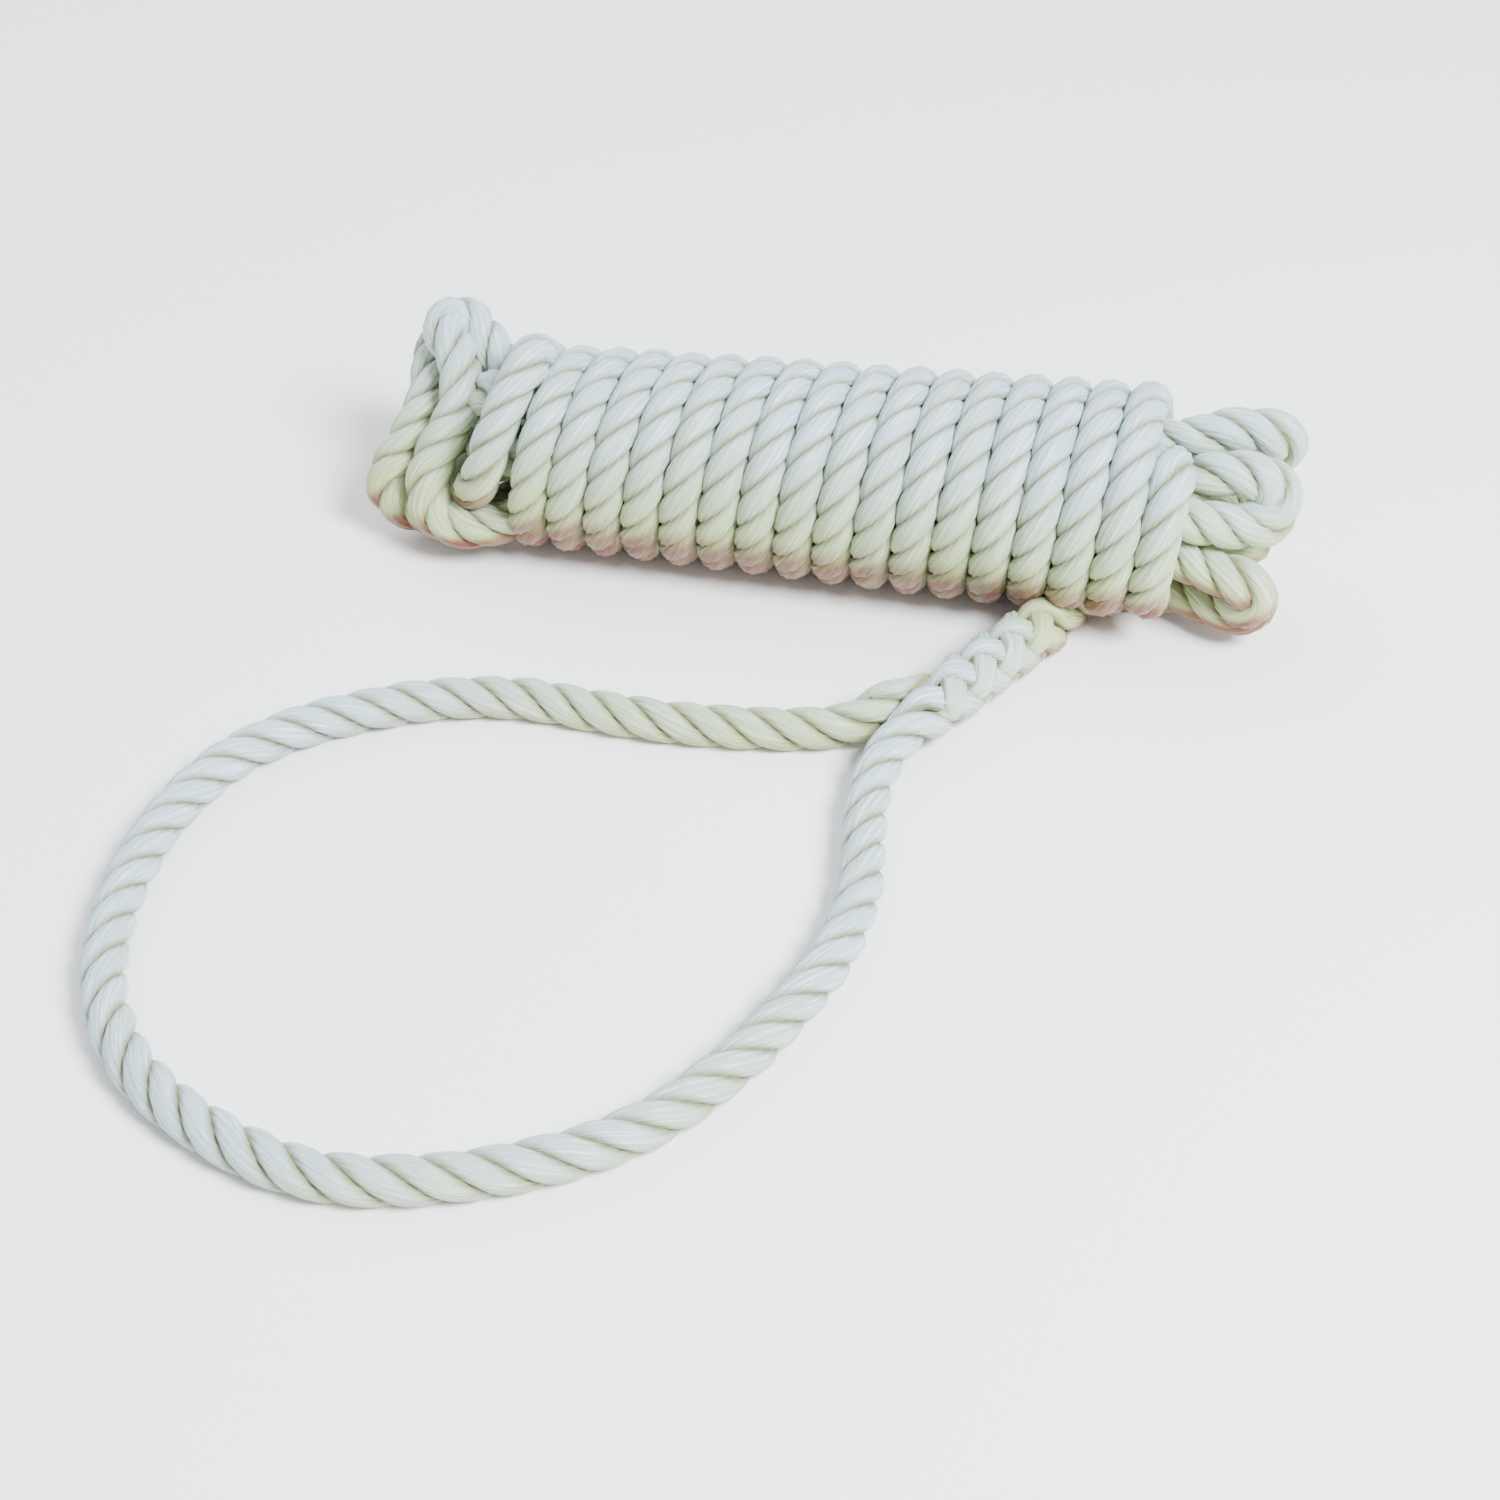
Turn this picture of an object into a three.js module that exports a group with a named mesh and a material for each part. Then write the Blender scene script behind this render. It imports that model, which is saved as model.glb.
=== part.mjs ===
// A frapped hank of 10 mm three-strand rope with an eye spliced into its working end.
// Millimetres, +Z up. The hank lies along X and the eye lies flat in front of it, towards -Y.
// The rope is one continuous length; each node below is one stretch of it, as it lies.

import * as THREE from 'three';

// ---- Driving dimensions ----
const ROPE_D = 10;             // diameter of the laid rope
const GAP = 0.3;               // clearance between neighbouring solids
const TUBE_SIDES = 8;          // sides of a rope section, with a flat underneath
const STEP_LENGTH = 24;        // longest step along a tube that runs nearly straight
const BIGHT_STEPS = 12;        // steps round one bight of the hank

const HANK_AXIS_Y = 100;       // the hank's axis runs along X at this Y
const WRAP_LEFT = -66;         // left face of the frapping turns
const WRAP_RIGHT = 95;         // right face of the frapping turns
const WRAP_R_LEFT = 26;        // outer radius of the turns at their left face
const WRAP_R_RIGHT = 29.6;     // outer radius of the turns at their right face
const WRAP_SIDES = 24;         // facets round the turns, one of them flat on the ground

const SPLICE_BODY_R = 8;       // the splice holds six strands, so it is 1.6 rope diameters thick
const SPLICE_START = [39, 26]; // X and Y of the crotch of the eye
const SPLICE_END = [63.6, 71.8]; // X and Y where the splice has tapered back to plain rope

const WHIPPING_R = 5.6;        // radius of the twine whipping on the bare end
const WHIPPING_LENGTH = 9;

// ---- Colours ----
const ROPE_WHITE = 0xe3e6dc;
const ROPE_SHADED = 0xd3d6c8;
const TWINE_WHITE = 0xdad8cc;
const SEALED_TIP = 0xcfc6a4;

function material(color, roughness) {
  return new THREE.MeshStandardMaterial({ color, roughness, metalness: 0 });
}

function namedMesh(name, geometry, color = ROPE_WHITE, roughness = 0.55) {
  const mesh = new THREE.Mesh(geometry, material(color, roughness));
  mesh.name = name;
  return mesh;
}

// A regular polygon whose flats, not corners, are at the given distance from its centre.
function ropeSection(apothem, sides = TUBE_SIDES) {
  const cornerRadius = apothem / Math.cos(Math.PI / sides);
  const corners = [];
  for (let i = 0; i < sides; i += 1) {
    const angle = ((i + 0.5) * 2 * Math.PI) / sides;
    corners.push(new THREE.Vector2(cornerRadius * Math.cos(angle), cornerRadius * Math.sin(angle)));
  }
  return new THREE.Shape(corners);
}

function routeCurve(points) {
  return new THREE.CatmullRomCurve3(points.map((p) => new THREE.Vector3(...p)), false, 'centripetal');
}

// A rope tube along a route of hand-placed points.
function ropeTube(points, apothem, steps) {
  const extrudePath = routeCurve(points);
  const count = steps ?? Math.ceil(extrudePath.getLength() / STEP_LENGTH);
  return new THREE.ExtrudeGeometry(ropeSection(apothem), {
    steps: count,
    extrudePath,
    bevelEnabled: false,
  });
}

// A solid turned about the line from one point to another: profile is [distance along, radius] pairs.
function turnedBetween(profile, sides, from, to) {
  const outline = profile.map(([along, radius]) => new THREE.Vector2(radius, along));
  const geometry = new THREE.LatheGeometry(outline, sides, Math.PI / sides);
  const start = new THREE.Vector3(...from);
  const direction = new THREE.Vector3(...to).sub(start).normalize();
  const turn = new THREE.Quaternion().setFromUnitVectors(new THREE.Vector3(0, 1, 0), direction);
  geometry.applyQuaternion(turn);
  geometry.translate(start.x, start.y, start.z);
  return geometry;
}

// ---- The eye: from the far side of the crotch, round the loop, back to the near side ----
const EYE_Z = ROPE_D / 2 + 0.03;
const eyeRoute = [
  [29.2, 30.2, 6.6],
  [20, 27.5, 5.6],
  [6, 25, EYE_Z],
  [-15, 23, EYE_Z],
  [-31, 23.5, EYE_Z],
  [-46, 24.5, EYE_Z],
  [-61, 23, EYE_Z],
  [-76, 18, EYE_Z],
  [-89, 11, EYE_Z],
  [-101, 2, EYE_Z],
  [-110.5, -10, EYE_Z],
  [-116.5, -26, EYE_Z],
  [-118.5, -46, EYE_Z],
  [-116, -69, EYE_Z],
  [-107.5, -91, EYE_Z],
  [-93, -107.5, EYE_Z],
  [-75, -118, EYE_Z],
  [-58, -123.6, EYE_Z],
  [-44, -124.4, EYE_Z],
  [-26, -120, EYE_Z],
  [-7, -111.5, EYE_Z],
  [8, -100, EYE_Z],
  [20, -84, EYE_Z],
  [30, -63.5, EYE_Z],
  [36.5, -44, EYE_Z],
  [38.4, -24, EYE_Z],
  [36.4, -8, EYE_Z],
  [35.3, 7, 5.4],
  [37.5, 22.8, 7.2],
];

// ---- The splice and the plain rope that leads from it under the hank ----
const spliceFrom = [SPLICE_START[0], SPLICE_START[1], 8.6];
const spliceTo = [SPLICE_END[0], SPLICE_END[1], 5.9];
const spliceLength = new THREE.Vector3(...spliceFrom).distanceTo(new THREE.Vector3(...spliceTo));
const spliceProfile = [
  [0, 0],
  [0, 6.4],
  [4, 7.6],
  [12, SPLICE_BODY_R],
  [24, 7.3],
  [36, 6.7],
  [46, 6.1],
  [spliceLength, 5.1],
  [spliceLength, 0],
];
const standingRoute = [
  [64.1, 72.4, 5.3],
  [64.9, 73.7, 5.2],
  [65.6, 75, 5.1],
];

// ---- The frapping turns: a sleeve one rope thick, slightly wider at its right end ----
function frappingTurns() {
  const length = WRAP_RIGHT - WRAP_LEFT;
  const toCorner = 1 / Math.cos(Math.PI / WRAP_SIDES);
  const outerLeft = WRAP_R_LEFT * toCorner;
  const outerRight = WRAP_R_RIGHT * toCorner;
  const innerLeft = (WRAP_R_LEFT - ROPE_D) * toCorner;
  const innerRight = (WRAP_R_RIGHT - ROPE_D) * toCorner;
  const outline = [
    new THREE.Vector2(innerLeft, 0),
    new THREE.Vector2(outerLeft, 0),
    new THREE.Vector2(outerRight, length),
    new THREE.Vector2(innerRight, length),
    new THREE.Vector2(innerLeft, 0),
  ];
  const geometry = new THREE.LatheGeometry(outline, WRAP_SIDES, Math.PI / WRAP_SIDES);
  const coneAngle = Math.atan((WRAP_R_RIGHT - WRAP_R_LEFT) / length);
  geometry.rotateZ(-Math.PI / 2);
  geometry.rotateY(-coneAngle);
  geometry.translate(WRAP_LEFT, HANK_AXIS_Y, WRAP_R_LEFT * Math.cos(coneAngle));
  geometry.computeBoundingBox();
  geometry.translate(0, 0, -geometry.boundingBox.min.z);
  return geometry;
}

// The runs of rope inside the frapping turns, as the one bundle that they are packed into.
function foldedRuns() {
  const inset = GAP + 0.2;
  const leftR = WRAP_R_LEFT - ROPE_D - inset;
  const rightR = WRAP_R_RIGHT - ROPE_D - inset;
  const left = [WRAP_LEFT, HANK_AXIS_Y, WRAP_R_LEFT];
  const right = [WRAP_RIGHT, HANK_AXIS_Y, WRAP_R_RIGHT];
  const length = new THREE.Vector3(...left).distanceTo(new THREE.Vector3(...right));
  return turnedBetween([[0, 0], [0, leftR], [length, rightR], [length, 0]], WRAP_SIDES, left, right);
}

// ---- The bights that stand out of the two ends of the sleeve ----
const BIGHT_APOTHEM = ROPE_D / 2 - 0.25;

const leftBights = {
  left_bight_inner: [
    [-71, 108.6, 38.4],
    [-79, 113.5, 43],
    [-87, 118, 47.6],
    [-92.2, 119.4, 49.4],
    [-94.6, 115.2, 47.6],
    [-92, 108.2, 43.4],
    [-89, 99, 36.2],
    [-90.7, 91.5, 28.8],
    [-92.2, 85.5, 20.5],
    [-89.3, 82.2, 13.5],
    [-82.2, 81.1, 11.5],
    [-75.5, 82, 12.2],
    [-70.2, 84, 12.4],
  ],
  left_bight_outer: [
    [-69.4, 112.8, 28.2],
    [-79, 118, 32.5],
    [-90, 122.5, 37.8],
    [-97.5, 122.5, 39.2],
    [-100, 116, 36.8],
    [-98.8, 108.5, 33],
    [-100, 101.5, 29],
    [-101.5, 95.5, 24.2],
    [-104.2, 91, 18],
    [-103, 89.8, 12],
    [-98, 90.8, 8],
    [-89.6, 92.6, 5.7],
    [-79, 95.6, 6.6],
    [-70, 98.2, 9.6],
  ],
};

const rightBights = {
  right_bight_top: [
    [97.6, 109, 43.8],
    [103.5, 110, 45.6],
    [110.5, 111.6, 45.9],
    [116.6, 113, 44.3],
    [118.6, 115, 41.2],
    [116.5, 116.9, 38],
    [109, 117.2, 36.2],
    [97.8, 115.9, 33],
  ],
  right_bight_middle: [
    [97.8, 97, 38.5],
    [102, 96.6, 41],
    [110, 96.4, 41.6],
    [116.6, 96.2, 38.8],
    [118, 94.2, 33.3],
    [112, 91.3, 31],
    [104, 88.8, 31.9],
    [97.8, 88, 33.2],
  ],
  right_bight_front: [
    [97.8, 88, 22.3],
    [104, 86.1, 21.6],
    [111, 84.2, 20.8],
    [115.8, 84, 17.8],
    [115.5, 84.8, 12.8],
    [110.5, 87.3, 9.6],
    [104, 91, 8.6],
    [98, 94.1, 7.6],
  ],
  right_bight_back: [
    [97.8, 113.2, 21],
    [105, 114.8, 21.6],
    [113, 112.5, 20.6],
    [114.5, 107, 18.6],
    [109, 102.7, 17.8],
    [103, 101.7, 18],
    [97.8, 101.6, 18.8],
  ],
};

// ---- The last frapping turn, laid diagonally across the neck and tucked behind the bights ----
const lastTurnRoute = [
  [-72.8, 95, 50.2],
  [-73, 88.6, 46.6],
  [-73.8, 82.6, 38.5],
  [-75.8, 80.6, 29.6],
  [-79.9, 85.6, 22],
  [-83.4, 92.6, 19.8],
];

// ---- The bare end, tucked through the neck and out at the back of the left bights ----
const tailRoute = [
  [-84.4, 97.8, 19],
  [-86.6, 103, 18.6],
  [-88.2, 110, 18.2],
  [-88.5, 115.2, 17.8],
];
const whippingFrom = [-88.5, 115.8, 17.8];
const whippingTo = [-88.5, 124.8, 17.8];
const tipFrom = [-88.5, 124.9, 17.8];
const tipTo = [-88.5, 127, 17.8];
const TIP_LENGTH = 3.4;

const rope = new THREE.Group();

rope.add(namedMesh('eye_loop', ropeTube(eyeRoute, ROPE_D / 2)));
rope.add(namedMesh('eye_splice', turnedBetween(spliceProfile, 12, spliceFrom, spliceTo)));
rope.add(namedMesh('standing_part', ropeTube(standingRoute, ROPE_D / 2 - GAP, 3)));
rope.add(namedMesh('frapping_turns', frappingTurns()));
rope.add(namedMesh('folded_runs', foldedRuns(), ROPE_SHADED));
for (const [name, route] of Object.entries({ ...leftBights, ...rightBights })) {
  rope.add(namedMesh(name, ropeTube(route, BIGHT_APOTHEM, BIGHT_STEPS)));
}
rope.add(namedMesh('last_turn', ropeTube(lastTurnRoute, BIGHT_APOTHEM, BIGHT_STEPS)));
rope.add(namedMesh('bare_end', ropeTube(tailRoute, BIGHT_APOTHEM, 4)));
rope.add(namedMesh(
  'end_whipping',
  turnedBetween(
    [[0, 0], [0, WHIPPING_R], [WHIPPING_LENGTH - 0.4, WHIPPING_R], [WHIPPING_LENGTH - 0.4, 0]],
    12, whippingFrom, whippingTo,
  ),
  TWINE_WHITE, 0.7,
));
rope.add(namedMesh(
  'sealed_tip',
  turnedBetween(
    [[0, 0], [0, ROPE_D / 2], [TIP_LENGTH * 0.6, 4.6], [TIP_LENGTH, 3], [TIP_LENGTH, 0]],
    12, tipFrom, tipTo,
  ),
  SEALED_TIP, 0.4,
));

export default rope;
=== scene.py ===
"""A frapped hank of white three-strand rope with an eye spliced into its working end.

Metres, +Z up. The rope is one continuous length. Its centreline runs from the crotch of the eye, round
the eye, through the splice, under the hank, back and forth through the folded runs and their bights, and
then along the frapping turns to the bare end. Every surface of the rope is three laid strands swept along
that line.
"""

import math

import bpy
import numpy as np
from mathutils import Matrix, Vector


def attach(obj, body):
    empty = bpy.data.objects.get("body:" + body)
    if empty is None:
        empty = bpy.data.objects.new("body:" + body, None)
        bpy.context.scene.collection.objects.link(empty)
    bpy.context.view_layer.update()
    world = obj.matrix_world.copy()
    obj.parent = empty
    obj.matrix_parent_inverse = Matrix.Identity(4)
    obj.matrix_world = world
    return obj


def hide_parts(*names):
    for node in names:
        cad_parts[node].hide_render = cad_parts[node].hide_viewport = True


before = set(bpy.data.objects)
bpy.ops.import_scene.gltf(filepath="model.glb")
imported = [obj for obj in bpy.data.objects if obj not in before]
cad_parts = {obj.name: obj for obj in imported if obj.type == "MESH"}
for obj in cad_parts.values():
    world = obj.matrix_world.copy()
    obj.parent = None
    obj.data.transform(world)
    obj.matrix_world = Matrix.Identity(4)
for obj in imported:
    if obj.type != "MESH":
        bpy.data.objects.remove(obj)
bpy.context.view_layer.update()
BODY = "root"

# ---- Rope ----
ROPE_D = 0.010
EYE_LAY = 0.0285               # length of one full turn of a strand, right-handed, in the eye
SPLICE_LAY = 0.035             # the same where the tucked strands open the rope
TURN_LAY = 0.0252              # the same where the rope is pulled tight round the hank
STRANDS = 3
STRAND_OFFSET = 0.262 * ROPE_D  # strand centre from the rope's centreline
STRAND_THICK = 0.238 * ROPE_D   # half thickness, towards and away from the rope's centre
STRAND_WIDE = 0.268 * ROPE_D    # half width, along the rope's surface
TIGHT_WIDE = 0.290 * ROPE_D     # the same in the frapping turns, which press the strands flat
SHOULDER = 0.06                # how much fuller a strand's section is than an ellipse
YARNS = 10                     # yarns seen round one strand
YARN_POINTS = 3                # mesh points round one yarn
YARN_DEPTH = 0.055             # groove between yarns, as a share of the strand's half thickness
YARN_TWIST = -1.08             # turns of a yarn round its strand for one turn of the strand, left-handed
FILAMENT_BUNDLES = 20          # finer lines seen round one strand
RING_STEP = 0.00125            # rings along the rope where it is seen
HIDDEN_STEP = 0.003            # rings along the runs inside the turns
ROUTE_STEP = 0.0005            # spacing of the points that a route is worked out at
SPAN_POINTS = 16               # points worked out between two given ones, before they are spaced evenly

# ---- Hank ----
AXIS_Y = 0.100
WRAP_MIDDLE_X = 0.013
WRAP_MIDDLE_R = 0.0278         # outer radius of the turns at the middle of the hank
WRAP_TAPER = 0.0225            # growth of that radius for each metre along X
TURN_PITCH = 0.00973
FULL_TURNS = 16                # whole turns between the first turn and the last one
SHORT_OF_TOP = 0.06            # how much of a turn before the hank's top LAST_TURN takes over
FIRST_TURN_X = 0.0899          # X of the first turn where it is lowest in front
TURN_POINTS = 24               # route points for each turn
SEAM_TURN = 7.16               # where the two pieces of the turns meet, out of sight under the hank


def wrap_radius(x):
    """Outer radius of the frapping turns at X."""
    return WRAP_MIDDLE_R + WRAP_TAPER * (x - WRAP_MIDDLE_X)


# ---- Camera ----
CAMERA_AT = (0.0946, -0.4168, 0.3767)
CAMERA_TOWARDS = (-0.154, 0.750, -0.643)
LENS_MM = 60.0


def make_camera():
    data = bpy.data.cameras.new("camera")
    data.lens = LENS_MM
    data.sensor_width = 36.0
    camera = bpy.data.objects.new("camera", data)
    bpy.context.collection.objects.link(camera)
    camera.location = CAMERA_AT
    camera.rotation_euler = Vector(CAMERA_TOWARDS).to_track_quat("-Z", "Y").to_euler()
    bpy.context.scene.camera = camera


make_camera()

# ---- Route of the rope, listed point by point where it isn't coiled ----
EYE_Z = 0.005
EYE = [
    (0.0372, 0.0398, 0.0086), (0.0338, 0.0360, 0.0080), (0.0300, 0.0318, 0.0068), (0.0255, 0.0292, 0.0058),
    (0.0190, 0.0273, 0.0052), (0.0060, 0.0250, EYE_Z), (-0.0150, 0.0230, EYE_Z), (-0.0310, 0.0235, EYE_Z),
    (-0.0460, 0.0245, EYE_Z), (-0.0610, 0.0230, EYE_Z), (-0.0760, 0.0180, EYE_Z), (-0.0890, 0.0110, EYE_Z),
    (-0.1010, 0.0020, EYE_Z), (-0.1105, -0.0100, EYE_Z), (-0.1165, -0.0260, EYE_Z),
    (-0.1185, -0.0460, EYE_Z), (-0.1160, -0.0690, EYE_Z), (-0.1075, -0.0910, EYE_Z),
    (-0.0930, -0.1075, EYE_Z), (-0.0750, -0.1180, EYE_Z), (-0.0580, -0.1236, EYE_Z),
    (-0.0440, -0.1244, EYE_Z), (-0.0260, -0.1200, EYE_Z), (-0.0070, -0.1115, EYE_Z),
    (0.0080, -0.1000, EYE_Z), (0.0200, -0.0840, EYE_Z), (0.0300, -0.0635, EYE_Z), (0.0365, -0.0440, EYE_Z),
    (0.0384, -0.0240, EYE_Z), (0.0364, -0.0080, EYE_Z), (0.0353, 0.0070, 0.0054), (0.0366, 0.0185, 0.0066),
]
SPLICE = [
    (0.0405, 0.0285, 0.0078), (0.0465, 0.0395, 0.0081), (0.0530, 0.0510, 0.0080), (0.0590, 0.0620, 0.0074),
    (0.0645, 0.0720, 0.0069),
]
LEAD = [
    (0.0690, 0.0805, 0.0058), (0.0735, 0.0880, 0.0049), (0.0800, 0.0942, 0.0048), (0.0890, 0.0972, 0.0050),
]
RIGHT_FRONT = [
    (0.0980, 0.0950, 0.0072), (0.1040, 0.0915, 0.0085), (0.1105, 0.0873, 0.0096), (0.1155, 0.0848, 0.0128),
    (0.1158, 0.0840, 0.0178), (0.1110, 0.0842, 0.0208), (0.1040, 0.0862, 0.0218), (0.0970, 0.0880, 0.0230),
]
RIGHT_TOP = [
    (0.0970, 0.1088, 0.0438), (0.1035, 0.1100, 0.0456), (0.1105, 0.1116, 0.0459), (0.1166, 0.1130, 0.0443),
    (0.1186, 0.1150, 0.0412), (0.1165, 0.1169, 0.0380), (0.1090, 0.1172, 0.0362), (0.0970, 0.1157, 0.0325),
]
RIGHT_BACK = [
    (0.0970, 0.1012, 0.0190), (0.1030, 0.1015, 0.0178), (0.1090, 0.1027, 0.0178), (0.1145, 0.1070, 0.0186),
    (0.1130, 0.1125, 0.0206), (0.1050, 0.1148, 0.0216), (0.0970, 0.1130, 0.0210),
]
RIGHT_MIDDLE = [
    (0.0970, 0.0880, 0.0341), (0.1040, 0.0890, 0.0328), (0.1115, 0.0914, 0.0318), (0.1180, 0.0944, 0.0340),
    (0.1172, 0.0970, 0.0398), (0.1105, 0.0978, 0.0424), (0.1032, 0.0980, 0.0412), (0.0960, 0.0985, 0.0370),
]
LEFT_INNER = [
    (-0.0640, 0.0880, 0.0170), (-0.0700, 0.0832, 0.0138), (-0.0755, 0.0817, 0.0124),
    (-0.0822, 0.0811, 0.0115), (-0.0893, 0.0822, 0.0135), (-0.0922, 0.0855, 0.0205),
    (-0.0897, 0.0915, 0.0288), (-0.0862, 0.0985, 0.0366), (-0.0888, 0.1078, 0.0444),
    (-0.0940, 0.1158, 0.0480), (-0.0926, 0.1190, 0.0492), (-0.0870, 0.1176, 0.0478),
    (-0.0796, 0.1118, 0.0438), (-0.0700, 0.1064, 0.0382),
]
LEFT_OUTER = [
    (-0.0680, 0.1125, 0.0275), (-0.0790, 0.1180, 0.0325), (-0.0895, 0.1225, 0.0380),
    (-0.0962, 0.1225, 0.0396), (-0.0986, 0.1160, 0.0372), (-0.0972, 0.1080, 0.0330),
    (-0.0984, 0.1012, 0.0290), (-0.1006, 0.0955, 0.0242), (-0.1042, 0.0910, 0.0180),
    (-0.1030, 0.0898, 0.0120), (-0.0980, 0.0905, 0.0080), (-0.0896, 0.0918, 0.0065),
    (-0.0790, 0.0945, 0.0080), (-0.0690, 0.0975, 0.0125),
]
LEFT_LOW = [
    (-0.0680, 0.1080, 0.0185), (-0.0735, 0.1070, 0.0205), (-0.0782, 0.1030, 0.0235),
    (-0.0786, 0.0970, 0.0262), (-0.0742, 0.0916, 0.0262), (-0.0665, 0.0900, 0.0285),
]
LEFT_HIGH = [
    (-0.0680, 0.1003, 0.0275), (-0.0740, 0.1015, 0.0300), (-0.0784, 0.1015, 0.0340),
    (-0.0784, 0.0998, 0.0386), (-0.0742, 0.0985, 0.0414), (-0.0670, 0.0963, 0.0398),
]
FIRST_TURN = [
    (0.0880, 0.0948, 0.0440), (0.0922, 0.0915, 0.0458), (0.0931, 0.0852, 0.0462), (0.0926, 0.0795, 0.0415),
    (0.0918, 0.0764, 0.0340), (0.0911, 0.0763, 0.0255), (0.0904, 0.0800, 0.0155),
]
LAST_TURN = [
    (-0.0662, 0.0980, 0.0530), (-0.0694, 0.0893, 0.0475), (-0.0727, 0.0832, 0.0385),
    (-0.0757, 0.0806, 0.0290), (-0.0795, 0.0838, 0.0212), (-0.0848, 0.0935, 0.0172),
    (-0.0877, 0.1030, 0.0176), (-0.0885, 0.1110, 0.0178), (-0.0885, 0.1245, 0.0178),
]

# Where each folded run lies in the bundle, as (Y, Z) at the left and right ends of the turns.
RUN_LEFT_X = -0.056
RUN_RIGHT_X = 0.080
RUNS = {
    "top": ((0.1063, 0.0353), (0.1077, 0.0420)),
    "front_top": ((0.0966, 0.0367), (0.0958, 0.0435)),
    "front": ((0.0896, 0.0300), (0.0869, 0.0355)),
    "front_low": ((0.0903, 0.0204), (0.0883, 0.0250)),
    "low": ((0.0984, 0.0149), (0.1010, 0.0208)),
    "back_low": ((0.1076, 0.0178), (0.1113, 0.0210)),
    "back": ((0.1112, 0.0269), (0.1138, 0.0310)),
    "centre": ((0.1000, 0.0260), (0.1000, 0.0320)),
}


def run_points(name, leftwards):
    """The route of one folded run, inside the turns."""
    (left_y, left_z), (right_y, right_z) = RUNS[name]
    points = []
    for share in (0.0, 0.35, 0.65, 1.0):
        x = RUN_LEFT_X + share * (RUN_RIGHT_X - RUN_LEFT_X)
        points.append((x, left_y + share * (right_y - left_y), left_z + share * (right_z - left_z)))
    return points[::-1] if leftwards else points


FOLDS = (
    RIGHT_FRONT + run_points("front_low", True) + LEFT_INNER + run_points("top", False)
    + RIGHT_TOP + run_points("back", True) + LEFT_OUTER + run_points("low", False)
    + RIGHT_BACK + run_points("back_low", True) + LEFT_LOW + run_points("front", False)
    + RIGHT_MIDDLE + run_points("centre", True) + LEFT_HIGH + run_points("front_top", False)
)

LOWEST_ANGLE = math.radians(146)   # from the hank's top round its front: the lowest point that is seen
CLEAR_OF_LEAD = 0.0093             # how far a turn's centreline stays above the lead's, where it crosses it
LEAD_HALF_WIDTH = 0.013            # how far to the side of the lead a turn starts to rise
LEAD_STEP = 0.002                  # spacing of the lead's points that a turn is kept clear of
FIRST_LEAN = 0.0053                # how far the first turn's top lies to the right of its lowest point
LEAN_GROWTH = 0.00025              # how much more each following turn leans


def lean(turn):
    """How far a turn's top lies to the right of its lowest point: more towards the left end."""
    return FIRST_LEAN + LEAN_GROWTH * turn


def above_lead(point, lead):
    """Lifts a point of a turn over the rope that leads out under the hank."""
    x, y, z = point
    gap = min(math.hypot(x - p[0], y - p[1]) for p in lead)
    if gap >= LEAD_HALF_WIDTH:
        return point
    rise = max(0.0, EYE_Z + CLEAR_OF_LEAD - z)
    return (x, y, z + rise * math.cos(0.5 * math.pi * gap / LEAD_HALF_WIDTH) ** 2)


def turn_points():
    """The frapping turns, from the lowest point of the first one to the top of the last."""
    lead = [tuple(p) for p in smooth_route(SPLICE[-2:] + LEAD + RIGHT_FRONT[:2], LEAD_STEP)]
    points = []
    count = round((FULL_TURNS + 0.5 - SHORT_OF_TOP) * TURN_POINTS)
    for i in range(2, count + 1):
        turns = i / TURN_POINTS
        angle = LOWEST_ANGLE + 2 * math.pi * turns
        sway = 0.5 * (lean(turns) - 0.5 * TURN_PITCH)
        x = FIRST_TURN_X - TURN_PITCH * turns + sway * (1 - math.cos(2 * math.pi * turns))
        radius = wrap_radius(x) - 0.5 * ROPE_D
        y = AXIS_Y - radius * math.sin(angle)
        z = wrap_radius(x) + radius * math.cos(angle)
        points.append(above_lead((x, y, z), lead))
    return points


def smooth_route(points, step):
    """Evenly spaced points on the centripetal Catmull-Rom curve through the given ones."""
    p = np.array(points, float)
    p = np.vstack([2 * p[0] - p[1], p, 2 * p[-1] - p[-2]])
    knots = np.concatenate([[0.0], np.cumsum(np.sqrt(np.linalg.norm(np.diff(p, axis=0), axis=1)))])
    dense = []
    for i in range(1, len(p) - 2):
        t0, t1, t2, t3 = knots[i - 1:i + 3]
        p0, p1, p2, p3 = p[i - 1:i + 3]
        t = np.linspace(t1, t2, SPAN_POINTS, endpoint=False)[:, None]
        a1 = (t1 - t) / (t1 - t0) * p0 + (t - t0) / (t1 - t0) * p1
        a2 = (t2 - t) / (t2 - t1) * p1 + (t - t1) / (t2 - t1) * p2
        a3 = (t3 - t) / (t3 - t2) * p2 + (t - t2) / (t3 - t2) * p3
        b1 = (t2 - t) / (t2 - t0) * a1 + (t - t0) / (t2 - t0) * a2
        b2 = (t3 - t) / (t3 - t1) * a2 + (t - t1) / (t3 - t1) * a3
        dense.append((t2 - t) / (t2 - t1) * b1 + (t - t1) / (t2 - t1) * b2)
    dense = np.vstack(dense + [p[-2][None, :]])
    along = np.concatenate([[0.0], np.cumsum(np.linalg.norm(np.diff(dense, axis=0), axis=1))])
    wanted = np.linspace(0.0, along[-1], max(2, round(along[-1] / step)) + 1)
    return np.column_stack([np.interp(wanted, along, dense[:, k]) for k in range(3)])


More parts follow.
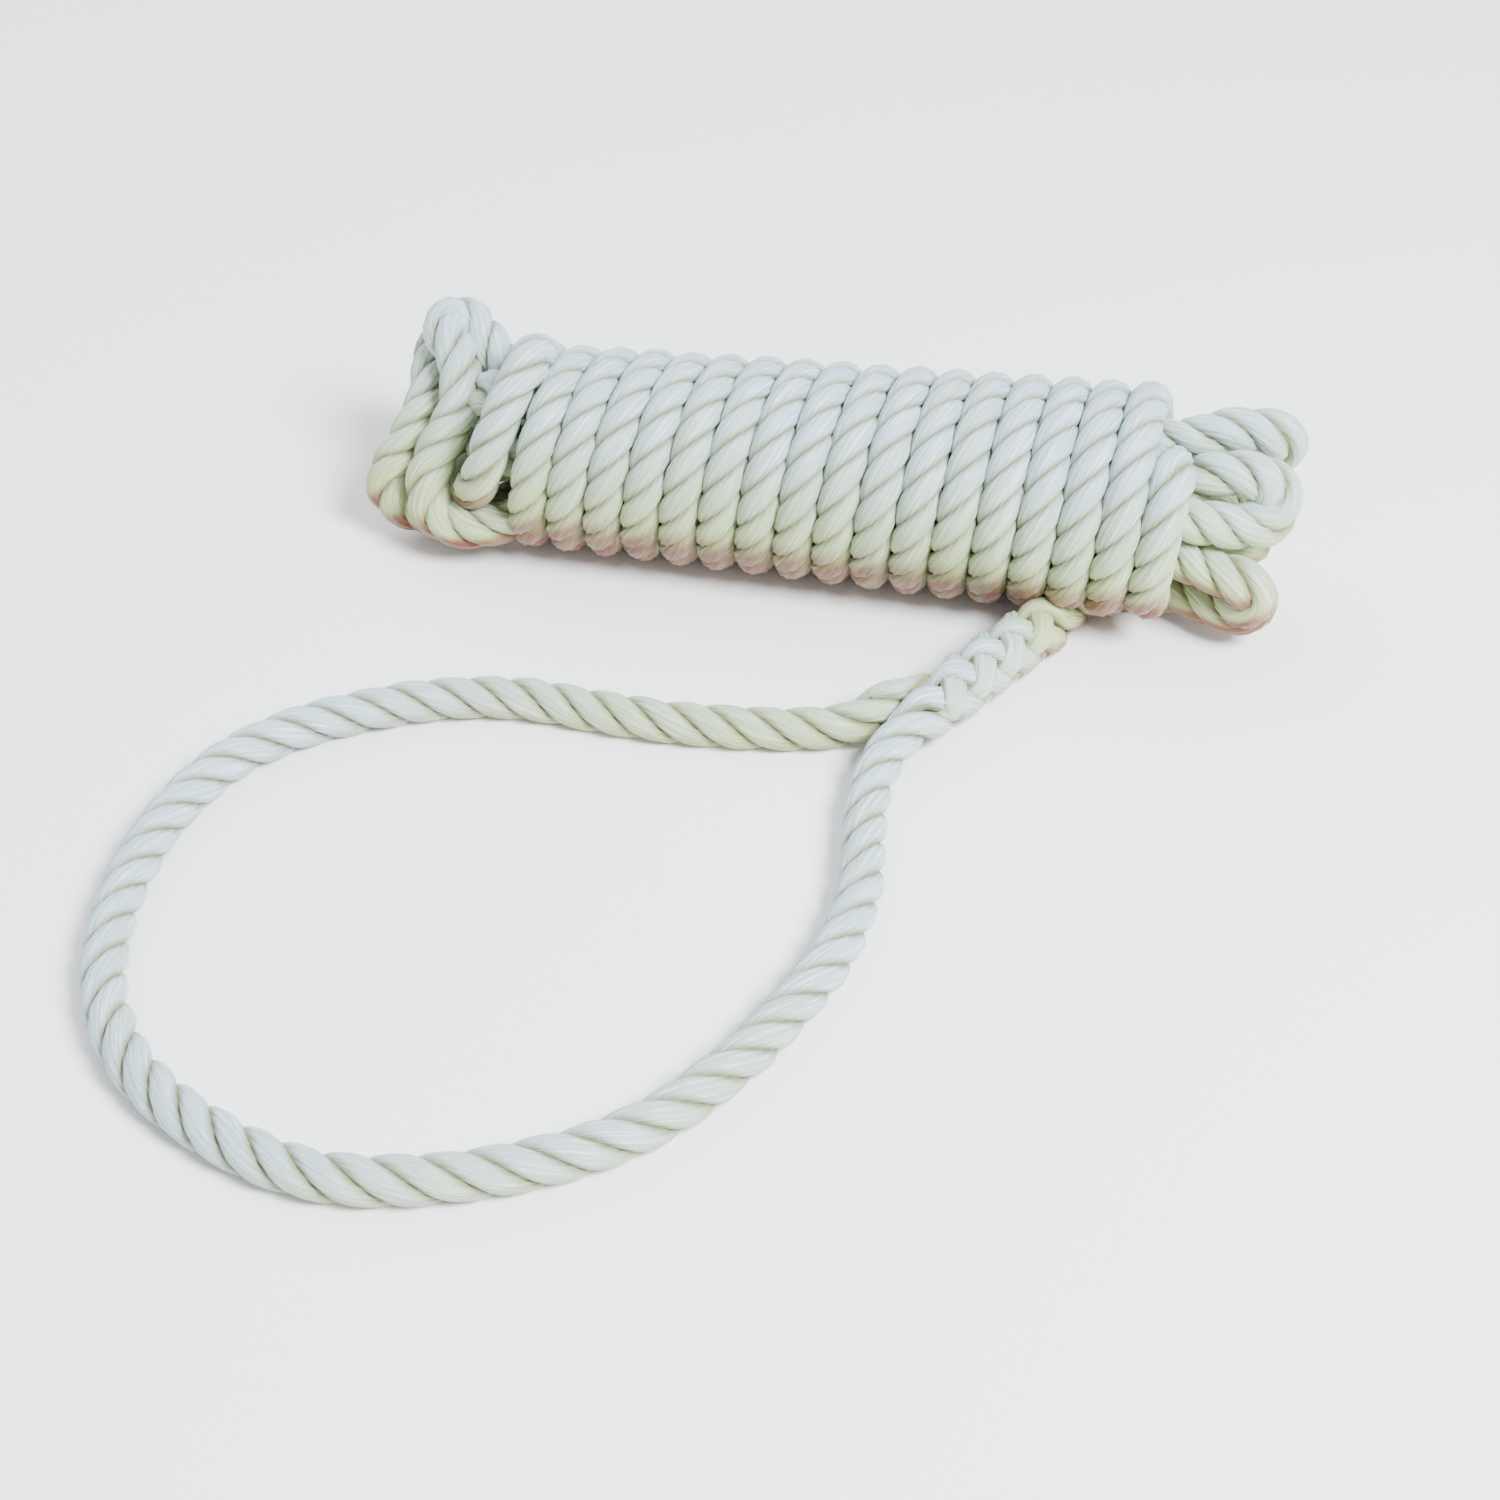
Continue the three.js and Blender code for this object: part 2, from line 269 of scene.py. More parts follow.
def carried_frames(line):
    """Tangents and two side directions along a line, turned no more than the line itself turns."""
    tangent = np.gradient(line, axis=0)
    tangent /= np.linalg.norm(tangent, axis=1)[:, None]
    side = np.zeros_like(line)
    first = np.cross(tangent[0], (0.0, 0.0, 1.0))
    side[0] = first / np.linalg.norm(first)
    for i in range(1, len(line)):
        carried = side[i - 1] - tangent[i] * np.dot(side[i - 1], tangent[i])
        side[i] = carried / np.linalg.norm(carried)
    return tangent, side, np.cross(tangent, side)


ROUTE = smooth_route(EYE + SPLICE + LEAD + FOLDS + FIRST_TURN + turn_points() + LAST_TURN, ROUTE_STEP)
ALONG = np.concatenate([[0.0], np.cumsum(np.linalg.norm(np.diff(ROUTE, axis=0), axis=1))])
TANGENT, SIDE, UP = carried_frames(ROUTE)


def along_at(point):
    """Distance along the rope of the route point nearest to a point."""
    return float(ALONG[np.argmin(np.linalg.norm(ROUTE - np.array(point), axis=1))])


def sample(table, s):
    """A table of vectors, one for each route point, read at distances s along the rope."""
    return np.column_stack([np.interp(s, ALONG, table[:, k]) for k in range(3)])


def unit(v):
    return v / np.linalg.norm(v, axis=-1, keepdims=True)


def smooth_share(s, s_from, s_to):
    """0 before s_from, 1 after s_to, and a smooth step between them."""
    share = np.clip((s - s_from) / (s_to - s_from), 0.0, 1.0)
    return share * share * (3 - 2 * share)


# ---- Lay of the rope: how its strands turn and how full they are ----
# Each pair below is the stretch, along the rope from the place that it names, over which a change happens.
LEGS_PART = 0.006              # how far past SPLICE's first point the two legs of the eye part
OPENS_AT_CROTCH = (-0.009, 0.006)
CLOSES_AT_SPLICE_END = (0.005, 0.017)
TIGHTENS_FROM_SPLICE_END = 0.01
TIGHTENS_TO_LEAD = 0.1
SLACKENS_AT_LAST_TURN = 0.06
S_CROTCH = along_at(SPLICE[0]) + LEGS_PART
S_SPLICE_END = along_at(SPLICE[-1])
S_LEAD = along_at(LEAD[2])
S_FIRST_TURN = along_at(FIRST_TURN[0])
S_LAST_TURN = along_at(LAST_TURN[0])
S_MIDDLE_TURN = along_at(turn_points()[round(SEAM_TURN * TURN_POINTS)])
S_END = float(ALONG[-1])


def splice_share(s):
    """How far the rope is opened by the tucked strands."""
    opened = smooth_share(s, S_CROTCH + OPENS_AT_CROTCH[0], S_CROTCH + OPENS_AT_CROTCH[1])
    closes_from, closes_to = CLOSES_AT_SPLICE_END
    return opened * (1 - smooth_share(s, S_SPLICE_END + closes_from, S_SPLICE_END + closes_to))


def lay_phase():
    """The angle of the first strand round the rope at every route point."""
    in_splice = splice_share(ALONG)
    in_turns = smooth_share(ALONG, S_SPLICE_END + TIGHTENS_FROM_SPLICE_END, S_LEAD + TIGHTENS_TO_LEAD)
    slack = 1 - smooth_share(ALONG, S_LAST_TURN, S_LAST_TURN + SLACKENS_AT_LAST_TURN)
    lay = EYE_LAY + (TURN_LAY - EYE_LAY) * in_turns * slack
    lay = lay + (SPLICE_LAY - lay) * in_splice
    rate = 2 * math.pi / lay
    return np.concatenate([[0.0], np.cumsum(0.5 * (rate[1:] + rate[:-1]) * np.diff(ALONG))])


HUMP = (-0.82, 0.44, 0.36)     # from the splice's centre towards where the first tucked strand stands out
TO_HUMP = 0.0058               # distance of that place from the crotch


def phase_for_hump():
    """Turns the whole lay so that the first tucked strand rises towards HUMP."""
    s = np.array([S_CROTCH + TO_HUMP])
    side, up = sample(SIDE, s)[0], sample(UP, s)[0]
    wanted = math.atan2(np.dot(HUMP, up), np.dot(HUMP, side))
    free = lay_phase()
    return wanted + math.pi / 3 - float(np.interp(S_CROTCH, ALONG, free))


PHASE = lay_phase() + phase_for_hump()
PHASE_AT_CROTCH = float(np.interp(S_CROTCH, ALONG, PHASE))
WEAVE_REACH = 0.0042           # strand centre from the splice's centre, halfway between over and under
WEAVE_DEPTH = 0.0012           # how far a strand rises over another and sinks under it
WEAVE_THICK = 0.225 * ROPE_D   # half thickness of a strand in the splice
WEAVE_WIDE = 0.320 * ROPE_D    # half width of a strand in the splice
TIGHT_BEND = 0.13              # how much fuller the rope gets where a bight folds it and opens its lay
BEND_SPREAD = 0.006            # distance to each side over which a bend is averaged
TURN_CURVATURE = 60.0          # in 1/m: bends up to here leave the rope as it is
BIGHT_CURVATURE = 130.0        # in 1/m: bends from here on open it fully


def bend_share():
    """1 where the route bends as tightly as a bight and 0 where it bends no more than a turn."""
    turning = np.linalg.norm(np.gradient(TANGENT, axis=0), axis=1) / ROUTE_STEP
    width = round(BEND_SPREAD / ROUTE_STEP)
    spread = np.convolve(turning, np.ones(2 * width + 1) / (2 * width + 1), mode="same")
    return smooth_share(spread, TURN_CURVATURE, BIGHT_CURVATURE)


BEND = bend_share()
LOOSE_SWELL = 0.10             # how much fuller the rope is where no turn presses it, at the hank's two ends
PAST_RIGHT_END = (0.092, 0.101)    # X over which the rope comes out of the turns on the right
PAST_LEFT_END = (0.068, 0.077)     # the same for -X on the left
IN_HANK_FRONT = (0.070, 0.078)     # Y over which the rope gets into the hank
BEFORE_FIRST_TURN = 0.03           # length of rope over which the first turn pulls it tight


def slack_share():
    """1 where the rope stands out at the hank's ends and 0 where turns press it or it isn't in the hank."""
    x, y = ROUTE[:, 0], ROUTE[:, 1]
    past_end = smooth_share(x, *PAST_RIGHT_END) + smooth_share(-x, *PAST_LEFT_END)
    pulled = smooth_share(ALONG, S_FIRST_TURN - BEFORE_FIRST_TURN, S_FIRST_TURN)
    return past_end * smooth_share(y, *IN_HANK_FRONT) * (1 - pulled)


SLACK = slack_share()
UNEVEN_WAVES = ((83, 1.7), (217, 4.1), (39, 2.9))   # radians per metre, and radians per unit of seed


def unevenness(s, seed):
    """A slow natural variation along the rope, between -1 and 1."""
    return sum(np.sin(s * rate + seed * shift) for rate, shift in UNEVEN_WAVES) / len(UNEVEN_WAVES)


STRAND_UNEVENNESS = 0.03       # how much a strand's reach and thickness vary
REACH_SEED = 0.5
THICK_SEED = 7.0
FLATTENS_BEFORE_TURNS = 0.02   # length of rope over which the first turn presses the strands flat
FLATTENS_AFTER_TURNS = 0.03    # and over which they recover in the last turn


def strand_sizes(s, strand):
    """A strand's distance from the rope's centre, half thickness and half width."""
    tight = smooth_share(s, S_FIRST_TURN - FLATTENS_BEFORE_TURNS, S_FIRST_TURN)
    tight = tight * (1 - smooth_share(s, S_LAST_TURN, S_LAST_TURN + FLATTENS_AFTER_TURNS))
    reach = STRAND_OFFSET * (1 + STRAND_UNEVENNESS * unevenness(s, strand + REACH_SEED))
    thick = STRAND_THICK * (1 + STRAND_UNEVENNESS * unevenness(s, strand + THICK_SEED))
    wide = STRAND_WIDE + (TIGHT_WIDE - STRAND_WIDE) * tight
    opened = splice_share(s)
    weave = WEAVE_REACH + WEAVE_DEPTH * np.cos(3 * (np.interp(s, ALONG, PHASE) - PHASE_AT_CROTCH))
    reach = reach + (weave - reach) * opened
    thick = thick + (WEAVE_THICK - thick) * opened
    wide = wide + (WEAVE_WIDE - wide) * opened
    fuller = 1 + TIGHT_BEND * np.interp(s, ALONG, BEND) + LOOSE_SWELL * np.interp(s, ALONG, SLACK)
    return reach * fuller, thick * fuller, wide * fuller


# ---- Painted shade and floor reflection on the underside, and cream added as painted shade low down, as attributes of the surface ----
# Facing is 0 halfway up the rope and 1 at its underside. Each pair is a range over which a share grows.
HANK_STARTS = (0.055, 0.080)       # Y, from the rope in front of the hank to the rope in it
HANK_BACK = (0.098, 0.118)         # Y, from the hank's middle to its back
# Painted shade and warm floor reflection on the underside: where it fades out upwards, and how it grows as
# the surface faces down
BOUNCE_SHADE_FADES_UP = (0.017, 0.026)    # Z
BOUNCE_SHADE_FACING = (-0.12, 0.32)
BOUNCE_SHADE_OUTSIDE_HANK = 0.25          # share of the painted underside shade and reflection that the eye and splice get
BOUNCE_SHADE_LOST_BEHIND = 0.5
# Cream added low in the hank and on the underside is painted shade
SHADE_CREAM_FADES_UP = (0.015, 0.062)    # Z
SHADE_CREAM_IN_HANK = 0.95
SHADE_CREAM_UNDERNEATH = 0.22            # more cream, as painted shade, for each unit of facing


def painted_shading(heights, core_heights, core_y):
    """The painted underside shade and floor reflection, and the cream added as painted shade, at points of a
    strand, from their places on the rope and in the hank.
    """
    facing_down = (core_heights - heights) / (0.5 * ROPE_D)
    in_hank = smooth_share(core_y, *HANK_STARTS)
    behind = smooth_share(core_y, *HANK_BACK)
    low = 1 - smooth_share(heights, *BOUNCE_SHADE_FADES_UP)
    bounce_shade = smooth_share(facing_down, *BOUNCE_SHADE_FACING) * low
    bounce_shade = bounce_shade * (BOUNCE_SHADE_OUTSIDE_HANK + (1 - BOUNCE_SHADE_OUTSIDE_HANK) * in_hank)
    # Painted shade: creamier low in the hank and underneath
    low_shade = 1 - smooth_share(heights, *SHADE_CREAM_FADES_UP)
    cream_and_shade = SHADE_CREAM_UNDERNEATH * facing_down + SHADE_CREAM_IN_HANK * in_hank * low_shade
    return bounce_shade * (1 - BOUNCE_SHADE_LOST_BEHIND * behind), cream_and_shade


def strand_mesh(centres, outward, thick, wide, yarn_turn, s, tone, core):
    """One strand: rings of yarn-grooved sections round its centres, with the material's attributes.

    core is the centreline of the rope that the strand belongs to, point by point. The floor presses the
    strand flat where it would go below it.
    """
    tangent = unit(np.gradient(centres, axis=0))
    normal = unit(outward - tangent * np.sum(outward * tangent, axis=1)[:, None])
    binormal = np.cross(tangent, normal)
    around = YARNS * YARN_POINTS
    step = np.arange(around) * 2 * math.pi / around
    bulge = 1 + YARN_DEPTH * np.cos(YARNS * step)
    angle = step[None, :] + yarn_turn[:, None]
    full = bulge[None, :] * (1 + SHOULDER * np.sin(2 * angle) ** 2)
    across = (np.cos(angle) * full)[..., None] * normal[:, None, :] * np.reshape(thick, (-1, 1, 1))
    over = (np.sin(angle) * full)[..., None] * binormal[:, None, :] * np.reshape(wide, (-1, 1, 1))
    vertices = (centres[:, None, :] + across + over).reshape(-1, 3)
    vertices[:, 2] = np.maximum(vertices[:, 2], 0.0)
    rings = len(centres)
    index = np.arange(rings * around).reshape(rings, around)
    following = np.roll(index, -1, axis=1)
    quads = np.stack([index[:-1], following[:-1], following[1:], index[1:]], axis=-1).reshape(-1, 4)
    faces = [tuple(q) for q in quads.tolist()]
    faces.append(tuple(index[0, ::-1].tolist()))
    faces.append(tuple(index[-1].tolist()))
    # Painted shade in the grooves between strands: how far a point faces the rope's centre
    depth = np.clip(0.5 - 0.5 * np.cos(angle), 0, 1).ravel()
    # Painted shade in the grooves between yarns
    yarn_gap = np.tile((1 - np.cos(YARNS * step)) / 2, rings)
    place = np.column_stack([
        np.tile(np.cos(step), rings) * STRAND_THICK, np.tile(np.sin(step), rings) * STRAND_THICK,
        np.repeat(s, around),
    ])
    bounce_shade, cream_and_shade = painted_shading(vertices[:, 2], np.repeat(core[:, 2], around), np.repeat(core[:, 1], around))
    # The tone also carries cream painted as shade, underneath and low in the hank
    tone = np.clip(np.repeat(np.broadcast_to(tone, rings), around) + cream_and_shade, 0, 1)
    return vertices, faces, depth, yarn_gap, place, tone, bounce_shade


def mesh_object(name, parts, material):
    vertices = np.vstack([p[0] for p in parts])
    faces = []
    start = 0
    for p in parts:
        faces.extend(tuple(i + start for i in face) for face in p[1])
        start += len(p[0])
    mesh = bpy.data.meshes.new(name)
    mesh.from_pydata(vertices.tolist(), [], faces)
    mesh.validate()
    for label, column in (("groove", 2), ("yarn_gap", 3), ("tone", 5), ("bounce_shade", 6)):
        layer = mesh.attributes.new(label, "FLOAT", "POINT")
        layer.data.foreach_set("value", np.concatenate([p[column] for p in parts]).astype(np.float32))
    layer = mesh.attributes.new("rope_place", "FLOAT_VECTOR", "POINT")
    layer.data.foreach_set("vector", np.vstack([p[4] for p in parts]).astype(np.float32).ravel())
    mesh.polygons.foreach_set("use_smooth", [True] * len(mesh.polygons))
    mesh.materials.append(material)
    piece = bpy.data.objects.new(name, mesh)
    bpy.context.collection.objects.link(piece)
    return piece


# Where along the rope it is creamier, and by how much
FAR_LEG_ENDS = (0.07, 0.15)
FOOT_STARTS = (0.27, 0.33)
FOOT_ENDS = (0.40, 0.46)
FAR_LEG_CREAM = 0.80
FOOT_CREAM = 0.38
SPLICE_CREAM = 0.36
UNEVEN_CREAM = 0.18
CREAM_SLOWNESS = 0.3           # the tone's unevenness is this much slower than the strands'
CREAM_SEED = 3.0


def rope_tone(s):
    """0 on clean rope and 1 where it is creamier, as on the far leg of the eye."""
    far_leg = FAR_LEG_CREAM * (1 - smooth_share(s, *FAR_LEG_ENDS))
    foot = FOOT_CREAM * (smooth_share(s, *FOOT_STARTS) * (1 - smooth_share(s, *FOOT_ENDS)))
    uneven = UNEVEN_CREAM * unevenness(s * CREAM_SLOWNESS, CREAM_SEED)
    return np.clip(far_leg + foot + SPLICE_CREAM * splice_share(s) + uneven, 0, 1)


GRAIN_SHIFT = 0.37             # moves the grain along from strand to strand, so that no two look the same
END_TOLERANCE = 1e-6


def rope_stretch(s_from, s_to, visible):
    """Strand meshes for one stretch of the rope, and its centreline. visible(s) asks for fine rings at s."""
    s = [s_from]
    while s[-1] < s_to - END_TOLERANCE:
        s.append(min(s_to, s[-1] + (RING_STEP if visible(s[-1]) else HIDDEN_STEP)))
    s = np.array(s)
    centre, side, up = sample(ROUTE, s), unit(sample(SIDE, s)), unit(sample(UP, s))
    phase = np.interp(s, ALONG, PHASE)
    parts = []
    for strand in range(STRANDS):
        angle = phase + 2 * math.pi * strand / STRANDS
        outward = np.cos(angle)[:, None] * side + np.sin(angle)[:, None] * up
        reach, thick, wide = strand_sizes(s, strand)
        centres = centre + outward * reach[:, None]
        grain = s + strand * GRAIN_SHIFT
        parts.append(strand_mesh(
            centres, outward, thick, wide, YARN_TWIST * phase, grain, rope_tone(s), centre,
        ))
    return parts, centre


# ---- Tucked strands of the splice ----
TUCKS_PAST_END = 0.015                 # how far past the splice's end the longest tucked strand goes
TUCK_LENGTHS = (0.0, 0.0045, 0.0090)   # how much sooner each tucked strand ends
TUCK_ENTRY = (0.006, 0.004, 0.009)     # how far past the crotch each strand has taken its place
TUCK_PROUD = (0.0008, 0.0, 0.0)        # how far each stands out at the throat
PROUD_LENGTH = 0.006                   # and over what length
TUCK_STEP = 0.0011
TUCK_START = (0.0, 2 * math.pi / 3, 4 * math.pi / 3)   # where each strand of the leg enters the splice
LEG_ENDS_AT = (0.007, 0.0045, 0.002)   # along the far leg, its last rings before its strands part
MATCHED_AT = 0.001                     # past the crotch: each strand takes the way in that is nearest here
TUCK_SMOOTHING = 12                    # passes that even out the turning of a tucked strand's section
TUCK_TAPER = 0.45                      # how much thinner it gets at its end
TUCK_TAPER_LENGTH = 0.009
TUCK_FULLER = 1.04                     # its thickness, against the rope's own strands in the splice
TUCK_WIDENS = (0.004, 0.016)           # along it
TUCK_TWIST = 80.0                      # its yarns' turn, in radians per metre
TUCK_CREAM = (0.65, 0.45)              # tone at its start and its end
TUCK_CREAM_FADES = (0.01, 0.04)        # along it
TUCK_GRAIN = 5                         # metres of grain between the tucked strands and the rope's own


def splice_point(s, start_angle, proud=0.0):
    """Where a tucked strand lies at s along the splice, laid against the rope's own strands.

    proud is how far the strand stands out where it goes over its first strand, at the throat.
    """
    turned = np.interp(s, ALONG, PHASE) - PHASE_AT_CROTCH
    angle = start_angle + PHASE_AT_CROTCH - turned
    centre, side, up = sample(ROUTE, s), unit(sample(SIDE, s)), unit(sample(UP, s))
    outward = np.cos(angle)[:, None] * side + np.sin(angle)[:, None] * up
    reach = WEAVE_REACH - WEAVE_DEPTH * np.cos(3 * turned)
    reach = reach + proud * np.exp(-((s - S_CROTCH - TO_HUMP) / PROUD_LENGTH) ** 2)
    return centre + outward * reach[:, None], outward


def leg_strands():
    """The last rings of the far leg's strands, before they part: centres and outward directions."""
    s = np.array(LEG_ENDS_AT)
    centre, side, up = sample(ROUTE, s), unit(sample(SIDE, s)), unit(sample(UP, s))
    phase = np.interp(s, ALONG, PHASE)
    found = []
    for strand in range(STRANDS):
        angle = phase + 2 * math.pi * strand / STRANDS
        outward = np.cos(angle)[:, None] * side + np.sin(angle)[:, None] * up
        found.append((centre + outward * STRAND_OFFSET, outward))
    return found


def tucked_strands():
    """The far leg's three strands, each going over one strand of the rope and under the next."""
    legs = leg_strands()
    entries = [splice_point(np.array([S_CROTCH + MATCHED_AT]), start)[0][0] for start in TUCK_START]
    shift = min(range(STRANDS), key=lambda k: sum(
        np.linalg.norm(legs[(i + k) % STRANDS][0][-1] - entries[i]) for i in range(STRANDS)))
    parts = []
    for i in range(STRANDS):
        leg, leg_out = legs[(i + shift) % STRANDS]
        s = np.arange(S_CROTCH + TUCK_ENTRY[i], S_SPLICE_END + TUCKS_PAST_END - TUCK_LENGTHS[i], TUCK_STEP)
        helix, helix_out = splice_point(s, TUCK_START[i], TUCK_PROUD[i])
        line = smooth_route(np.vstack([leg, helix[::3]]).tolist(), TUCK_STEP)
        along = np.arange(len(line)) * TUCK_STEP
        guides, outs = np.vstack([leg, helix]), np.vstack([leg_out, helix_out])
        outward = outs[[int(np.argmin(np.linalg.norm(guides - p, axis=1))) for p in line]]
        for _ in range(TUCK_SMOOTHING):
            outward[1:-1] = unit(outward[:-2] + 2 * outward[1:-1] + outward[2:])
        taper = 1 - TUCK_TAPER * smooth_share(along, along[-1] - TUCK_TAPER_LENGTH, along[-1])
        thick = WEAVE_THICK * TUCK_FULLER * taper
        wide = STRAND_WIDE + (WEAVE_WIDE - STRAND_WIDE) * smooth_share(along, *TUCK_WIDENS)
        tone = TUCK_CREAM[0] + (TUCK_CREAM[1] - TUCK_CREAM[0]) * smooth_share(along, *TUCK_CREAM_FADES)
        parts.append(strand_mesh(
            line, outward, thick, wide * taper, TUCK_TWIST * along, along + TUCK_GRAIN + i, tone,
            line - outward * WEAVE_REACH,
        ))
    return parts


# ---- Materials ----
def add(nodes, kind, **values):
    node = nodes.new(kind)
    for name, value in values.items():
        setattr(node, name, value)
    return node


def set_inputs(node, **values):
    for name, value in values.items():
        node.inputs[name.replace("_", " ")].default_value = value


def attribute(nodes, name):
    return add(nodes, "ShaderNodeAttribute", attribute_name=name)


def mixed(nodes, links, factor, first, second):
    """A colour mix. first and second are colours or sockets; factor is a number or a socket."""
    mix = add(nodes, "ShaderNodeMix", data_type="RGBA")
    for socket, value in ((mix.inputs[0], factor), (mix.inputs[6], first), (mix.inputs[7], second)):
        if isinstance(value, (int, float, tuple)):
            socket.default_value = value
        else:
            links.new(value, socket)
    return mix.outputs[2]


def curve(nodes, links, source, low, high, out_low=0.0, out_high=1.0):
    """Maps a value from one range to another, clamped."""
    node = add(nodes, "ShaderNodeMapRange", clamp=True)
    links.new(source, node.inputs[0])
    for index, value in enumerate((low, high, out_low, out_high)):
        node.inputs[index + 1].default_value = value
    return node.outputs[0]


def fibre_noise(nodes, links, place, across, along, detail):
    """Noise drawn out along the fibres."""
    mapping = add(nodes, "ShaderNodeMapping")
    mapping.inputs["Scale"].default_value = (across, across, along)
    links.new(place, mapping.inputs["Vector"])
    noise = add(nodes, "ShaderNodeTexNoise")
    set_inputs(noise, Scale=1.0, Detail=detail, Roughness=0.6)
    links.new(mapping.outputs[0], noise.inputs["Vector"])
    return noise.outputs[0]


CLEAN_WHITE = (0.45, 0.60, 0.72, 1)
CREAM_WHITE = (0.44, 0.51, 0.20, 1)
BRIGHT_FIBRE = (0.68, 0.83, 0.98, 1)
BRIGHT_CREAM = (0.60, 0.69, 0.38, 1)
DULL_FIBRE = (0.33, 0.42, 0.38, 1)
DULL_CREAM = (0.31, 0.36, 0.16, 1)
# Painted shade for the grooves between strands
GROOVE_SHADE_OLIVE = (0.19, 0.20, 0.08, 1)
# Painted shade and warm reflection of the floor, on the rope's underside
FLOOR_BOUNCE_SHADE = (0.16, 0.038, 0.010, 1)

# Noise along the fibres: how fine it is across them and along them, per metre, and its detail
FINE_GRAIN = (3600, 260, 3.0)
STREAK_GRAIN = (1500, 90, 2.0)
PATCH_GRAIN = (260, 50, 2.0)

# How each layer of the rope's colour is laid on: from which value of its source to which it grows, and its
# greatest share
CREAM_PATCHES = (0.48, 0.66, 0.34)
BRIGHT_STREAKS = (0.49, 0.64, 0.80)
DULL_FLECKS = (0.50, 0.34, 0.65)
DULL_LINES = (0.45, -0.8, 0.40)
# Painted shade in the grooves between yarns
YARN_GAP_SHADE = (0.40, 1.0, 0.42)
# Painted shade in the grooves between strands
STRAND_GROOVE_SHADE = (0.12, 0.46, 0.90)

# Ranges of noise and what they are mapped to
BOUNCE_SHADE_PATCHES = (0.36, 0.58, 0.72, 1.0)    # share of the painted underside shade and reflection
ROUGHNESS = (0.3, 0.7, 0.62, 0.40)         # roughness, from dull to bright fibre
LINE_WANDER = (0.2, 0.8, 0.0, 9.0)         # sideways drift of the filament lines, in radians

LINE_RELIEF = 0.12             # share of the relief that the filament lines make


def rope_material(name="white_nylon_rope", base=CLEAN_WHITE, cream_and_shade=CREAM_WHITE):
    """Laid synthetic fibre: drawn-out grain, painted shade between yarns and strands, faintly shiny
    elsewhere.
    """
    material = bpy.data.materials.new(name)
    material.use_nodes = True
    nodes, links = material.node_tree.nodes, material.node_tree.links
    shader = nodes["Principled BSDF"]
    place = attribute(nodes, "rope_place").outputs["Vector"]
    fine = fibre_noise(nodes, links, place, *FINE_GRAIN)
    streak = fibre_noise(nodes, links, place, *STREAK_GRAIN)
    patchy = fibre_noise(nodes, links, place, *PATCH_GRAIN)
    tone = attribute(nodes, "tone").outputs["Fac"]
    # The cream colour paints the creamier fibre and, where the tone carries it, painted shade
    color = mixed(nodes, links, tone, base, cream_and_shade)
    bright = mixed(nodes, links, tone, BRIGHT_FIBRE, BRIGHT_CREAM)
    dull = mixed(nodes, links, tone, DULL_FIBRE, DULL_CREAM)
    lines = filament_lines(nodes, links, place, streak)
    gap = attribute(nodes, "yarn_gap").outputs["Fac"]
    depth = attribute(nodes, "groove").outputs["Fac"]
    # The yarn-gap and groove layers paint shade between the yarns and in the strands' grooves
    for source, (low, high, most), over in (
        (patchy, CREAM_PATCHES, cream_and_shade), (streak, BRIGHT_STREAKS, bright), (fine, DULL_FLECKS, dull),
        (lines, DULL_LINES, dull), (gap, YARN_GAP_SHADE, dull), (depth, STRAND_GROOVE_SHADE, GROOVE_SHADE_OLIVE),
    ):
        color = mixed(nodes, links, curve(nodes, links, source, low, high, 0.0, most), color, over)
    # Painted shade and warm floor reflection on the underside, made patchy by noise
    bounce_shade = attribute(nodes, "bounce_shade").outputs["Fac"]
    uneven = curve(nodes, links, patchy, *BOUNCE_SHADE_PATCHES)
    bounce_shade_share = add(nodes, "ShaderNodeMath", operation="MULTIPLY")
    links.new(bounce_shade, bounce_shade_share.inputs[0])
    links.new(uneven, bounce_shade_share.inputs[1])
    color = mixed(nodes, links, bounce_shade_share.outputs[0], color, FLOOR_BOUNCE_SHADE)
    links.new(color, shader.inputs["Base Color"])
    links.new(curve(nodes, links, fine, *ROUGHNESS), shader.inputs["Roughness"])
    shader.inputs["Sheen Weight"].default_value = 0.25
    shader.inputs["Sheen Roughness"].default_value = 0.4
    shader.inputs["Subsurface Weight"].default_value = 0.12
    shader.inputs["Subsurface Radius"].default_value = (0.0018, 0.0017, 0.0011)
    shader.inputs["Specular IOR Level"].default_value = 0.5
    relief = mixed(nodes, links, 0.5, grey(nodes, links, fine), grey(nodes, links, streak))
    raised = curve(nodes, links, lines, -1.0, 1.0)
    relief = mixed(nodes, links, LINE_RELIEF, relief, grey(nodes, links, raised))
    bump = add(nodes, "ShaderNodeBump")
    bump.inputs["Strength"].default_value = 0.9
    bump.inputs["Distance"].default_value = 0.0006
    links.new(relief, bump.inputs["Height"])
    links.new(bump.outputs[0], shader.inputs["Normal"])
    return material


def filament_lines(nodes, links, place, uneven):
    """Bundles of filaments along a strand: a wave round it, between -1 and 1, which wanders a little."""
    split = add(nodes, "ShaderNodeSeparateXYZ")
    links.new(place, split.inputs[0])
    angle = add(nodes, "ShaderNodeMath", operation="ARCTAN2")
    links.new(split.outputs[1], angle.inputs[0])
    links.new(split.outputs[0], angle.inputs[1])
    turned = add(nodes, "ShaderNodeMath", operation="MULTIPLY_ADD")
    turned.inputs[1].default_value = FILAMENT_BUNDLES
    links.new(angle.outputs[0], turned.inputs[0])
    links.new(curve(nodes, links, uneven, *LINE_WANDER), turned.inputs[2])
    wave = add(nodes, "ShaderNodeMath", operation="SINE")
    links.new(turned.outputs[0], wave.inputs[0])
    return wave.outputs[0]


